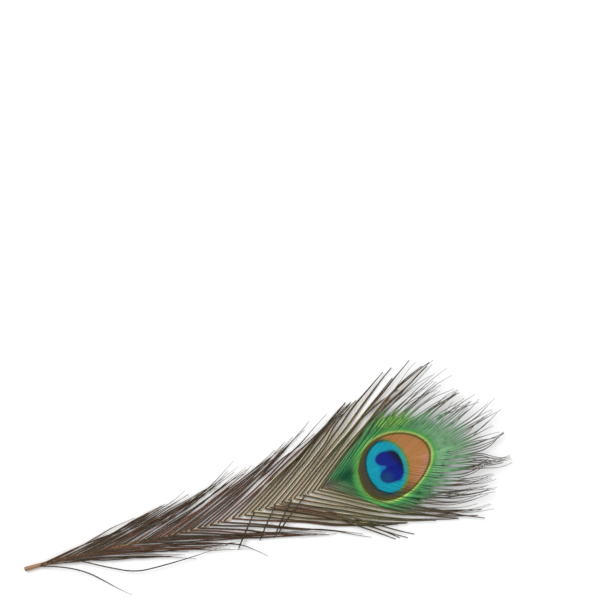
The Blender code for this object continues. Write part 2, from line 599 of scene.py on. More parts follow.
@dataclass(frozen=True)
class EyeFinish:
    """The eye's rings, the green halo round them and the fringe beyond."""

    fringe: BarbFinish
    name: str = "eye_rings"
    heart: Colour = srgb(1, 28, 134)
    heart_far: Colour = srgb(3, 8, 44)
    heart_lobe: Colour = srgb(26, 72, 122)
    notch: Colour = srgb(10, 104, 176)
    turquoise: Colour = srgb(1, 160, 184)
    turquoise_far: Colour = srgb(48, 158, 150)
    disc_edge: Colour = srgb(104, 142, 52)
    disc_shadow: Colour = srgb(24, 62, 66)
    bronze_near: Colour = srgb(76, 71, 51)
    bronze_far: Colour = srgb(182, 126, 72)
    # A painted highlight: the sheen that shows on the copper side of the bronze.
    bronze_pink_highlight: Colour = srgb(180, 126, 98)
    dark_line: Colour = srgb(82, 84, 20)
    rim_near: Colour = srgb(112, 166, 86)
    rim: Colour = srgb(172, 200, 112)
    halo_glow: Colour = srgb(80, 162, 80)
    halo_deep: Colour = srgb(20, 92, 56)
    halo_bright: Colour = srgb(66, 132, 80)
    # A painted sheen: the bright lime that light brings out on the halo's left.
    halo_lime_sheen: Colour = srgb(136, 190, 80)
    halo_sage: Colour = srgb(122, 170, 126)
    disc_mark: Oval = Oval(221.2, -0.8, 11.9, 15.3)
    heart_marks: tuple[Oval, ...] = (Oval(225.6, -1.2, 5.2, 9.6), Oval(221.2, 4.4, 6.0, 4.2),
                                     Oval(221.3, -6.0, 5.9, 4.6))
    notch_mark: Oval = Oval(219.5, -0.9, 4.2, 4.0)
    lobe_mark: Oval = Oval(219.0, -7.0, 6.0, 5.0)
    # Where the painted lime sheen lies.
    lime_sheen_mark: Oval = Oval(232.0, 26.0, 16.0, 9.0)
    deep_mark: Oval = Oval(198.0, -1.0, 11.0, 12.0)
    halo_x: float = 226.0
    halo_y: float = 2.5
    halo_behind: float = 40.0
    halo_ahead: float = 47.0
    halo_aside: float = 27.0
    unevenness: float = 0.35
    barbule_step: float = 0.30
    barbule_slant: float = 1.4

    def _heart(self, canvas: Canvas) -> Field:
        """How far out a point lies from the two-lobed heart, with 1 on its edge."""
        body, left_lobe, right_lobe = (mark.distance(canvas) for mark in self.heart_marks)
        return body.least_softly(left_lobe, 0.35).least_softly(right_lobe, 0.35)

    def _bronze(self, canvas: Canvas) -> bpy.types.NodeSocket:
        """The ring round the disc: dark brown on the near side, copper on the far one, with patches
        of painted highlight on the copper.

        Args:
            canvas: The material's canvas.

        Returns:
            The colour's socket.
        """
        aslant = canvas.x + canvas.y * 0.45
        colour = canvas.mix(self.bronze_near, self.bronze_far, aslant.rise(214, 236))
        # Soft patches of painted highlight on the copper side, standing in for the bronze's sheen.
        pink = canvas.noise(9.0, 1.0).rise(0.42, 0.62)
        return canvas.mix(colour, self.bronze_pink_highlight, pink * canvas.x.rise(226, 244))

    def _disc(self, canvas: Canvas) -> bpy.types.NodeSocket:
        """The turquoise disc with the deep blue heart in it.

        Args:
            canvas: The material's canvas.

        Returns:
            The colour's socket.
        """
        colour = canvas.mix(self.turquoise, self.turquoise_far, canvas.x.rise(226, 233))
        notch = self.notch_mark.distance(canvas).fall(0.35, 1.1)
        colour = canvas.mix(colour, self.notch, notch * 0.8)
        aslant = canvas.x + canvas.y * 0.55
        heart = canvas.mix(self.heart, self.heart_far, aslant.rise(224.5, 231.0))
        lobe = self.lobe_mark.distance(canvas).fall(0.2, 1.1)
        heart = canvas.mix(heart, self.heart_lobe, lobe * 0.8)
        return canvas.mix(colour, heart, self._heart(canvas).fall(0.84, 1.12))

    def _halo(self, canvas: Canvas) -> bpy.types.NodeSocket:
        """The halo's greens: deep by the shaft, bright on the near side with a painted lime sheen
        on its left, sage beyond.

        Args:
            canvas: The material's canvas.

        Returns:
            The colour's socket.
        """
        colour = canvas.mix(self.halo_bright, self.halo_sage, canvas.x.rise(232, 256))
        # A painted sheen: a lime patch on the halo's left side, where light catches the green.
        lime = self.lime_sheen_mark.distance(canvas).fall(0.3, 1.1)
        colour = canvas.mix(colour, self.halo_lime_sheen, lime * 0.6)
        deep = self.deep_mark.distance(canvas).fall(0.2, 1.1)
        colour = canvas.mix(colour, self.halo_deep, deep)
        flecks = canvas.noise(3.0, 3.0).rise(0.50, 0.72)
        return canvas.mix(colour, self.halo_deep, flecks * 0.55)

    def _past_halo(self, canvas: Canvas) -> Field:
        """Measures the halo, which is a wedge towards the cut end and round beyond.

        Args:
            canvas: The material's canvas.

        Returns:
            How far out the point lies, with 1 on the halo's outer edge.
        """
        along = canvas.x - self.halo_x
        behind = along.least(0.0) / -self.halo_behind
        ahead = along.most(0.0) / self.halo_ahead
        aside = (canvas.y - self.halo_y).size() / self.halo_aside
        return (behind + aside).most(ahead.with_side(aside))

    def material(self, plan: Plan) -> bpy.types.Material:
        """Builds the material.

        Args:
            plan: Where the feather's plan lies.

        Returns:
            The material.
        """
        canvas = Canvas(self.name, plan)
        tone = canvas.attribute("tone")
        canvas.x = canvas.x + (tone - 0.5) * self.unevenness
        spread = canvas.attribute("spread")
        distance = eye_distance(canvas)

        colour = self._bronze(canvas)
        disc = self.disc_mark.distance(canvas)
        edge = canvas.mix(self.disc_shadow, self.disc_edge, canvas.x.rise(220, 229))
        colour = canvas.mix(colour, edge, disc.fall(1.02, 1.16))
        colour = canvas.mix(colour, self._disc(canvas), disc.fall(0.93, 1.04))
        colour = canvas.mix(colour, self.dark_line, distance.band(0.915, 0.975, 0.03))
        rim = canvas.mix(self.rim_near, self.rim, canvas.x.rise(205, 222))
        colour = canvas.mix(colour, rim, distance.rise(0.955, 0.995))
        colour = canvas.mix(colour, self.halo_glow, distance.rise(1.000, 1.065))
        colour = canvas.mix(colour, self._halo(canvas), distance.rise(1.05, 1.20))

        outside = self._past_halo(canvas).rise(0.86, 1.16) * distance.rise(1.08, 1.26)
        colour = canvas.mix(colour, self.fringe.paint(canvas), outside)

        # Painted relief: a painted highlight along each ramus ridge, and painted shade towards the
        # blade edges, where neighbouring barbs meet.
        colour = canvas.shade(colour, spread * -0.22 + 1.08)
        colour = canvas.shade(colour, tone * 0.16 + 0.92)
        colour = canvas.mix(self.fringe.under, colour, canvas.facing_up())
        canvas.feed(canvas.shader.inputs["Base Color"], colour)

        run, offset = canvas.attribute("run"), canvas.attribute("offset")
        slant = run - offset.size() * self.barbule_slant
        herringbone = (slant * (math.tau / self.barbule_step)).wave() * 0.5 + 0.5
        canvas.feed(canvas.shader.inputs["Roughness"], herringbone * 0.12 + 0.34)
        canvas.bump(herringbone, 0.03, 0.5)
        canvas.gloss(0.32, 0.25, 0.03)
        return canvas.material


@dataclass(frozen=True)
class TableFinish:
    """A matt white table."""

    colour: Colour = (0.90, 0.905, 0.91)

    def material(self, plan: Plan) -> bpy.types.Material:
        """Builds the material.

        Args:
            plan: Where the feather's plan lies.

        Returns:
            The material.
        """
        canvas = Canvas("table", plan)
        grain = canvas.noise(40.0, 2.0)
        colour = canvas.shade(self.colour, grain * 0.01 + 0.995)
        canvas.feed(canvas.shader.inputs["Base Color"], colour)
        canvas.shader.inputs["Roughness"].default_value = 0.9
        canvas.shader.inputs["Specular IOR Level"].default_value = 0.2
        return canvas.material


# ---- strand meshes


class StrandMesh:
    """Collects closed strands and spikes, and joins them in one mesh."""

    MARKS = ("along", "tone", "spread", "run", "offset")

    def __init__(self) -> None:
        """Starts empty."""
        self.points: list[np.ndarray] = []
        self.faces: dict[int, list[np.ndarray]] = {3: [], 4: []}
        self.marks: dict[str, list[np.ndarray]] = {name: [] for name in self.MARKS}
        self.count = 0

    def _add(self, points: np.ndarray, faces: np.ndarray, marks: dict[str, np.ndarray]) -> None:
        """Adds points, the faces between them and what the points carry.

        Args:
            points: Their places on the plan, one row each.
            faces: Rows of three or four point numbers.
            marks: For each of MARKS, one number a point.
        """
        self.points.append(points)
        self.faces[faces.shape[1]].append(faces + self.count)
        for name in self.MARKS:
            self.marks[name].append(np.broadcast_to(marks[name], len(points)))
        self.count += len(points)

    def blade(self, strand: Strand, right: np.ndarray, left: np.ndarray, roll: float,
              web: np.ndarray) -> None:
        """Adds a ramus with the flat web beside it, closed at both ends.

        Args:
            strand: The line that it follows.
            right: From the ramus to the web's right edge, at each point of the line.
            left: From the ramus to its left edge.
            roll: How far the web tilts, as a slope.
            web: How far out the "spread" mark reaches 1, at each point of the line.
        """
        ramus = np.minimum(strand.ramus, np.minimum(right, left) * 0.6)
        zero = np.zeros_like(ramus)
        offset = np.stack([-right, -ramus, zero, ramus, left, zero], axis=1)
        ridge = np.stack([zero, ramus * 0.5, ramus * 1.3, ramus * 0.5, zero, -ramus * 0.7], axis=1)
        height = ridge + offset * roll
        points = (strand.path[:, None, :] + strand.across[:, None, :] * offset[..., None]
                  + UP * height[..., None])
        steps, ring = offset.shape
        last = (steps - 1) * ring
        far_caps = last + np.array([[5, 2, 1, 0], [5, 4, 3, 2]])
        caps = np.concatenate([[[0, 1, 2, 5], [2, 3, 4, 5]], far_caps])
        self._add(points.reshape(-1, 3), np.concatenate([ring_faces(steps, ring), caps]), {
            "along": np.repeat(strand.along, ring),
            "tone": np.array(strand.tone),
            "spread": np.minimum(np.abs(offset) / web[:, None], 1.0).reshape(-1),
            "run": np.repeat(strand.run, ring),
            "offset": offset.reshape(-1),
        })

    def barbules(self, strand: Strand, reach: np.ndarray, spacing: float, width: float,
                 angle: float, random: np.random.Generator) -> None:
        """Adds the fine spikes along both sides of a ramus.

        Args:
            strand: The line of the ramus.
            reach: How far they stand out from it, at each of its points.
            spacing: From one to the next along the ramus.
            width: Their width where they leave it.
            angle: Their angle to it, in degrees.
            random: The source of their unevenness.
        """
        total = strand.run[-1] - strand.run[0]
        count = int(total / spacing)
        if count < 2:
            return
        for sign in (1.0, -1.0):
            run = strand.run[0] + (np.arange(count) + random.uniform(0.1, 0.9, count)) * spacing
            run = np.clip(run, strand.run[0], strand.run[-1])
            base, across, along_ramus = strand.at(run)
            turn = np.radians(angle + random.normal(0.0, 5.0, count))[:, None]
            length = np.interp(run, strand.run, reach) * random.uniform(0.7, 1.2, count)
            length = (length / math.sin(math.radians(angle)))[:, None]
            rise = random.normal(0.0, 0.10, count)[:, None]
            direction = along_ramus * np.cos(turn) + across * np.sin(turn) * sign + UP * rise
            half = along_ramus * (width / 2 * sign)
            points = np.stack([base + half, base - half, base + UP * width * 0.6,
                               base + direction * length], axis=1)
            start = np.arange(count)[:, None, None] * 4
            faces = start + np.array([[0, 2, 1], [0, 1, 3], [1, 2, 3], [0, 3, 2]])
            stands_out = np.interp(run, strand.run, reach) * sign
            self._add(points.reshape(-1, 3), faces.reshape(-1, 3), {
                "along": np.repeat(np.interp(run, strand.run, strand.along), 4),
                "tone": np.array(strand.tone),
                "spread": np.tile([0.3, 0.3, 0.3, 0.46], count),
                "run": np.repeat(run, 4),
                "offset": (stands_out[:, None] * np.array([0.2, 0.2, 0.2, 1.0])).reshape(-1),
            })

    def build(self, name: str, plan: Plan) -> bpy.types.Object:
        """Joins all of it in one object.

        Args:
            name: The object's name.
            plan: Where the feather's plan lies.

        Returns:
            The object, at the origin, with its place in its mesh.
        """
        quads = np.concatenate(self.faces[4] or [np.zeros((0, 4), int)])
        tris = np.concatenate(self.faces[3] or [np.zeros((0, 3), int)])
        corners = np.concatenate([quads.reshape(-1), tris.reshape(-1)]).astype(np.int32)
        starts = np.concatenate([np.arange(len(quads)) * 4,
                                 len(quads) * 4 + np.arange(len(tris)) * 3]).astype(np.int32)
        mesh = bpy.data.meshes.new(name)
        mesh.vertices.add(self.count)
        places = plan.placed(np.concatenate(self.points))
        mesh.vertices.foreach_set("co", places.astype(np.float32).ravel())
        mesh.loops.add(len(corners))
        mesh.loops.foreach_set("vertex_index", corners)
        mesh.polygons.add(len(starts))
        mesh.polygons.foreach_set("loop_start", starts)
        mesh.update(calc_edges=True)
        for mark, parts in self.marks.items():
            layer = mesh.attributes.new(mark, "FLOAT", "POINT")
            layer.data.foreach_set("value", np.concatenate(parts).astype(np.float32))
        return put_in_scene(name, mesh)


@dataclass
class Strand:
    """The line of one ramus, or of a stretch of it."""

    path: np.ndarray
    across: np.ndarray
    along: np.ndarray
    run: np.ndarray
    ramus: np.ndarray
    tone: float

    def at(self, run: np.ndarray) -> tuple[np.ndarray, np.ndarray, np.ndarray]:
        """Reads the line at some lengths along it.

        Args:
            run: Lengths from the root, in millimetres.

        Returns:
            The points there, and the directions across and along the line.
        """
        point, across = (
            np.stack([np.interp(run, self.run, column) for column in values.T], axis=1)
            for values in (self.path, self.across)
        )
        forward = np.stack([across[:, 1], -across[:, 0], np.zeros(len(run))], axis=1)
        return point, across, forward

    def part(self, chosen: slice) -> Strand:
        """A stretch of the strand."""
        return Strand(self.path[chosen], self.across[chosen], self.along[chosen],
                      self.run[chosen], self.ramus[chosen], self.tone)


# ---- the shaft


@dataclass
class Shaft:
    """The feather's one stiff piece: a tapered quill, grooved underneath, cut square."""

    plan: Plan
    finish: HornFinish
    tip_radius: float = 0.30
    taper: float = 2.0
    bow: float = 5.0
    bow_span: float = 240.0
    groove: float = 0.22
    pith_share: float = 0.72
    pith_taper: float = 0.94
    pith_depth: float = 0.5
    rings: int = 180
    sides: int = 24

    def line(self, place: np.ndarray) -> np.ndarray:
        """How far the shaft's centreline lies to the left, at places along it."""
        return -self.bow * np.sin(math.pi * place / self.bow_span) ** 2

    def radius(self, place: np.ndarray) -> np.ndarray:
        """The shaft's radius, which thins quickly at first and then slowly."""
        left = np.clip(1 - place / self.plan.shaft_length, 0.0, 1.0) ** self.taper
        return self.tip_radius + (self.plan.butt_radius - self.tip_radius) * left

    def build(self) -> bpy.types.Object:
        """Makes the shaft, dresses it and puts it on its body.

        Returns:
            The shaft's object.
        """
        turns = np.arange(self.sides) / self.sides * math.tau
        around = np.stack([np.zeros(self.sides), np.cos(turns), np.sin(turns)], axis=1)
        swell = 1 - self.groove * np.clip(-np.sin(turns), 0, 1) ** 6
        places = self.plan.shaft_length * np.arange(self.rings + 1) / self.rings
        radius = self.radius(places)
        centre = np.stack([places, self.line(places), radius], axis=1)
        skin = centre[:, None] + radius[:, None, None] * swell[:, None] * around
        points = np.concatenate([self._pith_rings(centre[0], around * radius[0]), skin])
        rings = len(points)
        faces = ring_faces(rings, self.sides)[:, ::-1].tolist()
        cut = list(range(self.sides))
        faces += [cut[::-1], [(rings - 1) * self.sides + point for point in cut]]
        mesh = bpy.data.meshes.new("shaft_quill")
        mesh.from_pydata(self.plan.placed(points.reshape(-1, 3)).tolist(), [], faces)
        layer = mesh.attributes.new("pith", "FLOAT", "POINT")
        layer.data.foreach_set("value", np.repeat([1.0, 0.5, *[0.0] * (rings - 2)], self.sides))
        mesh.shade_smooth()
        mesh.set_sharp_from_angle(angle=math.radians(50))
        made = put_in_scene("shaft_quill", mesh)
        dress(made, self.finish.material(self.plan), "shaft")
        return made

    def _pith_rings(self, centre: np.ndarray, around: np.ndarray) -> np.ndarray:
        """The two rings of the sunken disc of pith, inside the cut end's wall of horn.

        Args:
            centre: The middle of the cut end.
            around: From it to each of the shaft's sides.

        Returns:
            The ring at the disc's edge, at its depth, and the one at the wall's brim.
        """
        sunk = centre + (self.pith_depth, 0.0, 0.0) + around * self.pith_share * self.pith_taper
        return np.stack([sunk, centre + around * self.pith_share])


# ---- the barbs


@dataclass(frozen=True)
class BarbRule:
    """How a barb leaves the shaft: its root's place, its length, and its heading off
    the shaft's line at the root, half way and at the tip, in degrees."""

    root: float
    length: float
    start: float
    middle: float
    tip: float


@dataclass(frozen=True)
class Stray:
    """A barb that has come out of line: its root's place, its length, its headings off
    the shaft's line at even steps from root to tip, and its tone from dark to warm."""

    root: float
    length: float
    headings: tuple[float, ...]
    tone: float


@dataclass
class Barbs:
    """All barbs of one side, one row each, from the cut end onwards, and its strays."""

    roots: np.ndarray
    tone: np.ndarray
    path: np.ndarray
    across: np.ndarray
    gap: np.ndarray
    run: np.ndarray
    along: np.ndarray
    eye: np.ndarray

    def rows(self, near: float, far: float) -> np.ndarray:
        """The numbers of the barbs whose roots lie between two places."""
        return np.nonzero((self.roots >= near) & (self.roots < far))[0]

    def strand(self, row: int, thick: float, thin: float) -> Strand:
        """One barb's strand.

        Args:
            row: The barb's number.
            thick: The ramus's half width at the root.
            thin: Its half width at the tip.

        Returns:
            The strand, with the ramus tapering along it.
        """
        ramus = thick + (thin - thick) * self.along ** 0.8
        return Strand(self.path[row], self.across[row], self.along, self.run[row],
                      ramus, float(self.tone[row]))


@dataclass
class Vane:
    """Grows the barbs of one side: their flow, tufts, sway, strays and lift.

    Barbs that leave the shaft past closed_root are of more uneven length, and gather in
    larger tufts.
    """

    side: Side
    shaft: Shaft
    rules: tuple[BarbRule, ...]
    strays: tuple[Stray, ...]
    seed: int
    steps: int = 110
    spacing_places: tuple[float, ...] = (10, 60, 110, 150, 170, 182, 190, 247)
    spacing_sizes: tuple[float, ...] = (1.9, 3.0, 4.2, 4.6, 3.8, 1.9, 1.3, 1.1)
    tuft_places: tuple[float, ...] = (10, 130, 155, 186, 200)
    tuft_pulls: tuple[float, ...] = (0.75, 0.75, 0.40, 0.30, 0.95)
    tuft_least: float = 0.30
    tuft_start: float = 0.30
    tuft_bend: float = 4.0
    closed_root: float = 190.0
    shortest: float = 0.84
    crown_shortest: float = 0.70
    longest: float = 1.04
    lean: float = 1.6
    stray_turn: float = 12.0
    stray_share: float = 0.06
    crown_stray_share: float = 0.22
    curl: float = 7.0
    crown_curl: float = 9.0
    crown_root: float = 182.0
    stray_height: float = 3.2
    stray_room: float = 0.9

    def grow(self) -> Barbs:
        """Works out every barb of the side.

        Returns:
            The barbs.
        """
        random = np.random.default_rng(self.seed)
        roots = self._roots(random)
        along = np.linspace(0, 1, self.steps + 1)
        tone = random.uniform(0, 1, len(roots))
        path = self._flow(roots, along, random)
        path = self._tufted(path, roots, along, random)
        path = self._swaying(path, roots, along, random)
        gap = self._gaps(path)
        height = self._heights(roots, along, EYE.distance(*np.moveaxis(path, 2, 0)), random)
        if self.strays:
            strays, over = self._stray_lines(along)
            path, height = np.concatenate([path, strays]), np.concatenate([height, over])
            roots = np.concatenate([roots, [stray.root for stray in self.strays]])
            tone = np.concatenate([tone, [stray.tone for stray in self.strays]])
            gap = np.concatenate([gap, np.full((len(strays), *gap.shape[1:]), self.stray_room)])
        eye = EYE.distance(*np.moveaxis(path, 2, 0))
        steps = np.linalg.norm(np.diff(path, axis=1), axis=2)
        run = np.concatenate([np.zeros((len(roots), 1)), np.cumsum(steps, axis=1)], axis=1)
        full = np.concatenate([path, height[..., None]], axis=2)
        return Barbs(roots, tone, full, self._across(path), gap, run, along, eye)

    def _across(self, path: np.ndarray) -> np.ndarray:
        """The level directions square to some lines.

        Args:
            path: The lines, in plan.

        Returns:
            The direction to the left at each point of each line.
        """
        ahead = np.gradient(path, axis=1)
        ahead /= np.linalg.norm(ahead, axis=2, keepdims=True)
        return np.stack([-ahead[..., 1], ahead[..., 0], np.zeros(path.shape[:2])], axis=2)

    def _lines(self, roots: np.ndarray, onto: np.ndarray, length: np.ndarray,
               heading: np.ndarray) -> np.ndarray:
        """Follows headings out from the shaft.

        Args:
            roots: Where the lines leave the shaft.
            onto: How far from its centreline, as a share of its radius.
            length: The lines' lengths.
            heading: Their headings off the shaft's line, one for each step, in degrees.

        Returns:
            For each line, its points in x and y.
        """
        angle = np.radians(heading) * self.side.value
        step = (length / heading.shape[1])[:, None]
        x = roots[:, None] + np.cumsum(np.cos(angle) * step, axis=1)
        y = np.cumsum(np.sin(angle) * step, axis=1)
        beside = self.shaft.line(roots) + self.side.value * self.shaft.radius(roots) * onto
        start = np.stack([roots, beside], axis=1)[:, None]
        return np.concatenate([start, np.stack([x, y + beside[:, None]], axis=2)], axis=1)

    def _stray_lines(self, along: np.ndarray) -> tuple[np.ndarray, np.ndarray]:
        """The strays' lines in plan, and their heights: they lie over the other barbs.

        Args:
            along: The share of the length at each point.

        Returns:
            For each stray, its points in x and y, and its heights.
        """
        middle = (along[1:] + along[:-1]) / 2
        heading = np.array([np.interp(middle, np.linspace(0, 1, len(s.headings)), s.headings)
                            for s in self.strays])
        roots = np.array([stray.root for stray in self.strays], float)
        length = np.array([stray.length for stray in self.strays], float)
        path = self._lines(roots, np.full(len(roots), 0.3), length, heading)
        radius = self.shaft.radius(roots)[:, None]
        arch = np.sin(math.pi * along) ** 0.7 * (self.stray_height - radius)
        return path, np.maximum(radius * 2 * (1 - along) + arch + 0.6 * along, 0.5)

    def _roots(self, random: np.random.Generator) -> np.ndarray:
        """Spaces the barbs out along the shaft, closer together towards the eye.

        Args:
            random: The source of their unevenness.

        Returns:
            The places of their roots.
        """
        place, places = self.spacing_places[0], []
        while place < self.spacing_places[-1]:
            places.append(place)
            step = np.interp(place, self.spacing_places, self.spacing_sizes)
            place += step * random.uniform(0.85, 1.15)
        return np.array(places)

    def _flow(self, roots: np.ndarray, along: np.ndarray,
              random: np.random.Generator) -> np.ndarray:
        """The barbs' lines in plan, as the rules give them.

        Args:
            roots: Where they leave the shaft.
            along: The share of the length at each point.
            random: The source of their unevenness.

        Returns:
            For each barb, one point in x and y for each share.
        """
        table = np.array([[r.root, r.length, r.start, r.middle, r.tip] for r in self.rules])
        length, start, middle, tip = (np.interp(roots, table[:, 0], column)[:, None]
                                      for column in table[:, 1:].T)
        count = len(roots)
        shortest = np.where(roots < self.closed_root, self.shortest, self.crown_shortest)[:, None]
        length = length * (shortest + (self.longest - shortest) * random.uniform(0, 1, (count, 1)))
        u = (along[1:] + along[:-1])[None, :] / 2
        heading = start * (1 - u) ** 2 + 2 * middle * u * (1 - u) + tip * u * u
        crown = smooth(roots, 184, 206)[:, None]
        heading = heading + random.normal(0, self.lean, (count, 1)) * (1 - crown * 0.8) * u
        leaves = u * (1 - crown) + smooth(u, 0.55, 1.0) * 1.4 * crown
        chance = self.stray_share + self.crown_stray_share * crown
        stray = random.uniform(0, 1, (count, 1)) < chance
        heading = heading + stray * random.normal(0, self.stray_turn, (count, 1)) * leaves
        curl = self.curl + self.crown_curl * crown
        heading = heading + random.normal(0, 1.0, (count, 1)) * curl * smooth(u, 0.6, 1.0)
        onto = np.where(roots < 95, random.uniform(-0.9, 0.6, count), 0.15)
        onto = onto - 1.3 * smooth(roots, 192, 202)
        return self._lines(roots, onto, length[:, 0], heading)

    def _tufted(self, path: np.ndarray, roots: np.ndarray, along: np.ndarray,
                random: np.random.Generator) -> np.ndarray:
        """Draws neighbouring barbs together in tufts towards their tips.

        Args:
            path: The barbs' lines in plan.
            roots: Where they leave the shaft.
            along: The share of the length at each point.
            random: The source of their unevenness.

        Returns:
            The new lines.
        """
        made, first = path.copy(), 0
        while first < len(roots):
            size = int(random.integers(*((2, 9) if roots[first] < self.closed_root else (4, 13))))
            rows = slice(first, min(first + size, len(roots)))
            strongest = float(np.interp(roots[first], self.tuft_places, self.tuft_pulls))
            pull = random.uniform(self.tuft_least, 1.0) * strongest
            closed = smooth(roots[rows], 182, 192)[:, None]
            eased = smooth(along, self.tuft_start, 0.95)[None, :] * (1 - closed)
            eased = eased + smooth(along, 0.58, 1.0)[None, :] * closed
            middle = path[rows].mean(axis=0, keepdims=True)
            made[rows] += (middle - path[rows]) * (eased * pull)[..., None]
            bend = self.tuft_bend * random.normal() * closed * smooth(along, 0.50, 1.0) ** 2
            made[rows] += self._across(middle)[..., :2] * bend[..., None]
            first += size
        return made

    def _swaying(self, path: np.ndarray, roots: np.ndarray, along: np.ndarray,
                 random: np.random.Generator) -> np.ndarray:
        """Lets the barbs wander a little from their lines, more at the tips.

        Args:
            path: The barbs' lines in plan.
            roots: Where they leave the shaft.
            along: The share of the length at each point.
            random: The source of their unevenness.

        Returns:
            The new lines.
        """
        count = len(roots)
        normal = self._across(path)[..., :2]
        sway = np.zeros((count, len(along)))
        for cycles, size in ((0.7, 0.9), (1.7, 0.45), (4.0, 0.14)):
            turn = random.uniform(0, math.tau, (count, 1))
            share = random.uniform(0.3, 1.0, (count, 1)) * size
            sway += share * (np.sin(math.tau * cycles * along[None, :] + turn) - np.sin(turn))
        crown = smooth(roots, 190, 215)[:, None]
        loose = smooth(along, 0.05, 0.6)[None, :] * (1 - crown)
        loose = loose + smooth(along, 0.5, 1.0)[None, :] * crown
        return path + normal * (sway * loose)[..., None]

    def _heights(self, roots: np.ndarray, along: np.ndarray, eye: np.ndarray,
                 random: np.random.Generator) -> np.ndarray:
        """How high the barbs lie over the table.

        Args:
            roots: Where they leave the shaft.
            along: The share of the length at each point.
            eye: The eye's distance at each point.
            random: The source of their unevenness.

        Returns:
            A height for each point of each barb.
        """
        count, u = len(roots), along[None, :]
        radius = self.shaft.radius(roots)[:, None]
        middle = random.uniform(0.8, 1.8, (count, 1))
        tip = random.uniform(0.5, 2.4, (count, 1))
        loose = (radius * 2 + 0.1) * (1 - u) ** 3 + 3 * middle * u * (1 - u) + tip * u * u
        knitted = 1.75 + 0.75 * np.minimum(eye, 1.6) ** 2
        lift = random.uniform(-1.2, 3.6, (count, 1)) * smooth(along, 0.5, 1.0)[None, :]
        start = radius * 2 + 0.1 + smooth(roots, 188, 208)[:, None]
        closed = start + (knitted - start) * smooth(along, 0.0, 0.12)[None, :] + lift
        share = smooth(roots, self.crown_root - 6, self.crown_root + 10)[:, None]
        return np.maximum(loose * (1 - share) + closed * share, 0.35)

    def _gaps(self, path: np.ndarray) -> np.ndarray:
        """How far each barb lies from its neighbours, square to its line.

        Args:
            path: The barbs' lines in plan.

        Returns:
            For each point of each barb, the room to its right and to its left.
        """
        apart = np.abs(((path[1:] - path[:-1]) * self._across(path)[1:, :, :2]).sum(axis=2))
        before = np.concatenate([apart[:1], apart])
        after = np.concatenate([apart, apart[-1:]])
        pair = (after, before) if self.side is Side.LEFT else (before, after)
        return np.stack(pair, axis=2)


@dataclass
class BarbGroup:
    """The loose barbs of one side along one stretch of the shaft."""

    barbs: Barbs
    side: Side
    stretch: str
    near: float
    far: float
    finish: BarbFinish
    slot: str
    reach: float
    core: float
    web: float = 1.0
    overlap: float = 0.45
    narrowest: float = 0.28
    spacing: float = 0.30
    barbule_width: float = 0.17
    barbule_angle: float = 34.0
    ramus: float = 0.15
    ramus_tip: float = 0.06

    def build(self, plan: Plan, materials: dict[str, bpy.types.Material]) -> bpy.types.Object:
        """Makes the group's mesh, dresses it and puts it on its body.

        Args:
            plan: Where the feather's plan lies.
            materials: The barb materials by name.

        Returns:
            The group's object.
        """
        mesh = StrandMesh()
        for row in self.barbs.rows(self.near, self.far):
            random = np.random.default_rng(1000 + int(row) * 2 + (self.side is Side.LEFT))
            strand = self.barbs.strand(row, self.ramus, self.ramus_tip)
            taper = smooth(1 - strand.along, 0.0, 0.45) * 0.75 + 0.25
            room = self.barbs.gap[row] * self.overlap
            right, left = np.clip(room, self.narrowest, (self.core * taper)[:, None])[::2].T
            mesh.blade(strand.part(slice(None, None, 2)), right, left, 0.0,
                       np.full(len(right), self.web))
            grown = 0.25 + 0.75 * smooth(strand.along, 0.0, 0.30)
            mesh.barbules(strand, self.reach * taper * grown,
                          self.spacing, self.barbule_width, self.barbule_angle, random)
        node = f"{self.side.word}_{self.stretch}"
        made = mesh.build(f"{node}_strands", plan)
        dress(made, materials[self.finish.name], node)
        return made


